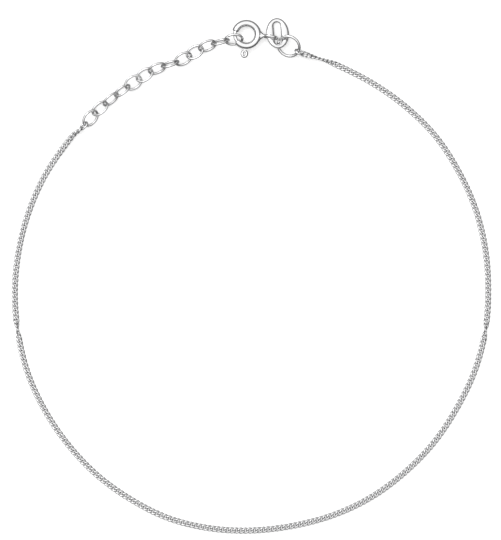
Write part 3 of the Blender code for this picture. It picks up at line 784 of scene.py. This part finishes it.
def combine(item, others, operation):
    for other in others:
        modifier = item.modifiers.new(other.name, "BOOLEAN")
        modifier.operation = operation
        modifier.solver = "EXACT"
        modifier.object = other
    mesh = evaluatedMesh(item)
    item.modifiers.clear()
    item.data = mesh
    for other in others:
        bpy.data.objects.remove(other)


def layMetal(item, name, pose, material, sharpAngle=38):
    item.name = name
    item.data.name = name
    item.data.transform(pose)
    item.data.materials.clear()
    item.data.materials.append(material)
    item.data.shade_smooth()
    item.data.set_sharp_from_angle(angle=math.radians(sharpAngle))


def direction(degrees):
    angle = math.radians(degrees)
    return Vector((math.cos(angle), math.sin(angle), 0))


def turnZ(degrees):
    return Matrix.Rotation(math.radians(degrees), 4, "Z")


def arcPoints(radius, start, end, count):
    angles = np.radians(np.linspace(start, end, count))
    return np.stack([radius * np.cos(angles), radius * np.sin(angles), 0 * angles], 1)


def ovalPoints(halfLength, halfWidth, count):
    angles = np.linspace(0, 2 * math.pi, count, endpoint=False)
    return np.stack([halfLength * np.cos(angles), halfWidth * np.sin(angles), 0 * angles], 1)


def slotPoints(halfWidth, halfLength, count):
    # a slot along Y with round ends
    outline = ovalPoints(halfWidth, halfWidth, count)
    outline[:, 1] += np.where(outline[:, 1] > 0, 1, -1) * (halfLength - halfWidth)
    return outline


springRing = {
    "diameter": 5.0 * mm,
    "tube": 1.1 * mm,
    "mouthTop": 163.0,
    "mouthBottom": 216.0,
    "channelEnd": 351.0,
    "socketDepth": 0.4 * mm,
    "overcut": 0.2 * mm,
    "gap": 0.1 * mm,
    "rolledEdge": 0.16 * mm,
    "rolledShare": 0.8,
    "neckAngle": -4.0,
    "neckLength": 0.25 * mm,
    "neckWidth": 2.5 * mm,
    "neckThickness": 0.9 * mm,
    "neckTip": 0.54 * mm,
    "neckCurve": 1.25,
    "neckRows": 14,
    "neckSides": 40,
    "eyeTurn": -5.7,
    "eyeLength": 2.7 * mm,
    "eyeHeight": 2.2 * mm,
    "eyeWire": 0.5 * mm,
    # how finely each is cut: points along it, then rounding steps of its section
    "tubeCuts": (132, 10),
    "boreCuts": (60, 6),
    "socketCuts": (8, 6),
    "eyeCuts": (72, 8),
    "wayCuts": 32,
    "pose": (-0.8581, 40.7977, 1.1122, -7.43, 1.04, -0.07),
}

bolt = {
    "wire": 0.55 * mm,
    "wireCuts": (64, 7),
    "seat": 0.25 * mm,
    "tail": 286.0,
    "travel": 58.0,
    "triggerAngle": 264.0,
    "triggerLength": 1.45 * mm,
    "triggerWidth": 1.27 * mm,
    "triggerThickness": 0.36 * mm,
    "triggerCrown": 1.4,
    "triggerPoints": 72,
    "slotLength": 0.5 * mm,
    "slotWidth": 0.2 * mm,
    "stemWidth": 0.4 * mm,
    "stemShare": 0.8,
    "stemRounding": 0.06 * mm,
    "stemRoundSteps": 3,
}

ringRadius = (springRing["diameter"] - springRing["tube"]) / 2


def ringDegrees(length):
    return math.degrees(length / ringRadius)


def tubeArc(name, wire, start, end, cuts, rolled=0.0):
    # a round bar along the ring, its ends rolled in over a short length
    count, sides = cuts
    points = arcPoints(ringRadius, start, end, count)
    radii = np.ones(count)
    if rolled:
        along = np.radians(np.linspace(0, end - start, count)) * ringRadius
        nearEnd = np.minimum(along, along[-1] - along)
        share = 1 - np.clip(nearEnd / rolled, 0, 1)
        radii = 1 - (1 - springRing["rolledShare"]) * share**2
    return solid(wireObject(name, points, wire, sides, False, radii))


def neckLoft():
    # widens in a smooth curve from the eye's wire into the ring
    ring = springRing
    tip = ring["diameter"] / 2 + ring["neckLength"] + ring["eyeWire"] / 2
    tipHalf = ring["neckTip"] / 2
    rows, around = ring["neckRows"], ring["neckSides"]
    angles = [2 * math.pi * step / around for step in range(around)]
    shape = bmesh.new()
    loops = []
    for row in range(rows + 1):
        share = row / rows
        fall = (1 - share) ** ring["neckCurve"]
        halfWidth = tipHalf + (ring["neckWidth"] - ring["neckTip"]) / 2 * fall
        halfHeight = tipHalf + (ring["neckThickness"] - ring["neckTip"]) / 2 * fall
        x = ringRadius + (tip - ringRadius) * share
        loops.append([
            shape.verts.new((x, halfWidth * math.cos(angle), halfHeight * math.sin(angle)))
            for angle in angles
        ])
    for near, far in zip(loops, loops[1:]):
        for step in range(around):
            after = (step + 1) % around
            shape.faces.new((near[step], near[after], far[after], far[step]))
    shape.faces.new(loops[0])
    shape.faces.new(loops[-1])
    bmesh.ops.recalc_face_normals(shape, faces=shape.faces)
    mesh = bpy.data.meshes.new("neck")
    shape.to_mesh(mesh)
    shape.free()
    mesh.transform(turnZ(ring["neckAngle"]))
    return addObject("neck", mesh)


def eyeLoop():
    # the upright loop of wire beyond the neck
    ring = springRing
    lean = ring["neckAngle"] + ring["eyeTurn"]
    halfLength = (ring["eyeLength"] - ring["eyeWire"]) / 2
    halfHeight = (ring["eyeHeight"] - ring["eyeWire"]) / 2
    neckEnd = direction(ring["neckAngle"]) * (ring["diameter"] / 2 + ring["neckLength"])
    centre = neckEnd + direction(lean) * ring["eyeLength"] / 2
    pose = Matrix.Translation(centre) @ turnZ(lean) @ Matrix.Rotation(math.pi / 2, 4, "X")
    count, sides = ring["eyeCuts"]
    oval = ovalPoints(halfLength, halfHeight, count)
    return solid(wireObject("eye", oval, ring["eyeWire"], sides, True), pose)


def triggerWay():
    # the slot in the tube's outer side that the trigger slides along
    spare = math.degrees((bolt["stemWidth"] / 2 + springRing["gap"]) / ringRadius)
    start = bolt["triggerAngle"] - spare
    end = bolt["triggerAngle"] + bolt["travel"] + spare
    reach = springRing["diameter"] / 2 + springRing["overcut"]
    outer = arcPoints(reach, start, end, springRing["wayCuts"])
    inner = arcPoints(ringRadius, end, start, springRing["wayCuts"])
    outline = [(x, y) for x, y, z in np.vstack([outer, inner])]
    height = bolt["triggerThickness"] + 2 * springRing["gap"]
    return solid(plateObject("triggerWay", outline, height))


def buildSpringRing():
    ring = springRing
    top, bottom = ring["mouthTop"], ring["mouthBottom"]
    tube = tubeArc(
        "springRing", ring["tube"], bottom, top + 360, ring["tubeCuts"], ring["rolledEdge"]
    )
    channel = bolt["wire"] + 2 * ring["gap"]
    over = ringDegrees(ring["overcut"])
    bore = tubeArc("bore", channel, bottom - over, ring["channelEnd"], ring["boreCuts"])
    depth = ringDegrees(ring["socketDepth"])
    socket = tubeArc("socket", channel, top - depth, top + over, ring["socketCuts"])
    combine(tube, [neckLoft(), eyeLoop()], "UNION")
    combine(tube, [bore, socket, triggerWay()], "DIFFERENCE")
    layMetal(tube, "springRing", poseMatrix(ring["pose"]), silvers["ring"])
    finishPiece(tube, "anklet", "spring_ring_silver", "spring_ring")
    print("spring ring:", len(tube.data.polygons), "faces")


def buildBolt():
    start = springRing["mouthTop"] - ringDegrees(bolt["seat"])
    wire = tubeArc("bolt", bolt["wire"], start, bolt["tail"], bolt["wireCuts"])
    middle = springRing["diameter"] / 2 + springRing["gap"] + bolt["triggerLength"] / 2
    along = turnZ(bolt["triggerAngle"])
    rim = ovalPoints(bolt["triggerLength"] / 2, bolt["triggerWidth"] / 2, bolt["triggerPoints"])
    slot = ovalPoints(bolt["slotLength"] / 2, bolt["slotWidth"] / 2, bolt["triggerPoints"])
    paddle = bandRing("paddle", rim, slot, bolt["triggerThickness"], bolt["triggerCrown"])
    paddle = solid(paddle, along @ Matrix.Translation((middle, 0, 0)))
    stemEnd = middle - bolt["slotLength"] / 2 - bolt["slotWidth"]
    stem = bpy.data.meshes.new("stem")
    shape = bmesh.new()
    stemHeight = bolt["triggerThickness"] * bolt["stemShare"]
    size = Matrix.Diagonal((stemEnd - ringRadius, bolt["stemWidth"], stemHeight, 1))
    bmesh.ops.create_cube(shape, size=1, matrix=size)
    # only the long edges are rounded
    edges = [
        edge for edge in shape.edges
        if abs((edge.verts[0].co - edge.verts[1].co).normalized().x) > 0.9
    ]
    rounding = {"offset": bolt["stemRounding"], "segments": bolt["stemRoundSteps"]}
    bmesh.ops.bevel(shape, geom=edges, affect="EDGES", **rounding)
    shape.to_mesh(stem)
    shape.free()
    stem.transform(along @ Matrix.Translation(((stemEnd + ringRadius) / 2, 0, 0)))
    combine(wire, [addObject("stem", stem), paddle], "UNION")
    layMetal(wire, "springRingBolt", poseMatrix(springRing["pose"]), silvers["bolt"])
    finishPiece(wire, "bolt", "bolt_silver", "spring_ring_bolt")
    print("bolt:", len(wire.data.polygons), "faces")


tagRing = {
    "width": 3.85 * mm,
    "length": 5.35 * mm,
    "thickness": 0.6 * mm,
    "slotLength": 3.9 * mm,
    "slotWidth": 1.15 * mm,
    "crown": 1.8,
    "points": 160,
    "sharpAngle": 60,
    "pose": (4.4243, 41.0130, 0.8807, -13.89, 4.20, 3.49),
}


def buildTagRing():
    tag = tagRing
    rim = ovalPoints(tag["width"] / 2, tag["length"] / 2, tag["points"])
    slot = slotPoints(tag["slotWidth"] / 2, tag["slotLength"] / 2, tag["points"])
    plate = solid(bandRing("tag", rim, slot, tag["thickness"], tag["crown"]))
    layMetal(plate, "tagRing", poseMatrix(tag["pose"]), silvers["tag"], tag["sharpAngle"])
    finishPiece(plate, "anklet", "tag_silver", "tag_ring")


buildSpringRing()
buildBolt()
buildTagRing()
print("clasp and tag ring done")


# Painted shade: where the pieces all but touch, the silver is made duller and painted darker, as
# the shade that falls between links

hollowShade = {
    # how dark the painted shade gets where links touch
    "depth": 0.9,
    # each piece, how many equal links it holds, and how far its painted shade in the hollows
    # reaches
    "pieces": {
        "extenderLinks": (len(extender["poses"]), 0.25 * mm),
        "endLinks": (2, 0.2 * mm),
        "jumpRing": (1, 0.25 * mm),
        "tagRing": (1, 0.35 * mm),
        "springRing": (1, 0.35 * mm),
    },
    "chainReach": 0.14 * mm,
}


def looseParts(mesh, count):
    # the vertices and faces of each link in a mesh of equal links
    verts = np.empty(len(mesh.vertices) * 3)
    mesh.vertices.foreach_get("co", verts)
    verts = verts.reshape(count, -1, 3)
    size = verts.shape[1]
    faces = [[] for _ in range(count)]
    for face in mesh.polygons:
        corners = list(face.vertices)
        faces[corners[0] // size].append([corner % size for corner in corners])
    return [
        (part, BVHTree.FromPolygons(part.tolist(), sides)) for part, sides in zip(verts, faces)
    ]


def paintHollowShade(pieces):
    # writes how much painted shade each vertex gets, from how near the other links come to it
    parts = []
    for name, (count, reach) in pieces.items():
        for part, shape in looseParts(bpy.data.objects[name].data, count):
            parts.append((name, reach, part, shape, part.min(0), part.max(0)))
    values = {name: [] for name in pieces}
    for name, reach, part, shape, low, high in parts:
        nearest = np.full(len(part), reach)
        for _, _, other, otherShape, otherLow, otherHigh in parts:
            least, most = otherLow - reach, otherHigh + reach
            if other is part or (low > most).any() or (high < least).any():
                continue
            for index in np.nonzero(((part > least) & (part < most)).all(1))[0]:
                distance = otherShape.find_nearest(part[index].tolist(), reach)[3]
                if distance is not None:
                    nearest[index] = min(nearest[index], distance)
        share = 1 - nearest / reach
        values[name].append(hollowShade["depth"] * share * share * (3 - 2 * share))
    for name, chunks in values.items():
        layer = bpy.data.objects[name].data.attributes.new("hollow", "FLOAT", "POINT")
        layer.data.foreach_set("value", np.concatenate(chunks).astype(np.float32))


linkPoints = curbChain["pointsRound"] * curbChain["wireSides"]
linkCount = len(bpy.data.objects["curbChain"].data.vertices) // linkPoints
paintHollowShade({**hollowShade["pieces"], "curbChain": (linkCount, hollowShade["chainReach"])})
print("hollows marked")

low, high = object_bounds()
boxes = {"cad": [list(corner) for corner in cadBox], "visual": [list(low), list(high)]}
for name, corners in boxes.items():
    print(name, "box mm:", [round((b - a) / mm, 2) for a, b in zip(*corners)])
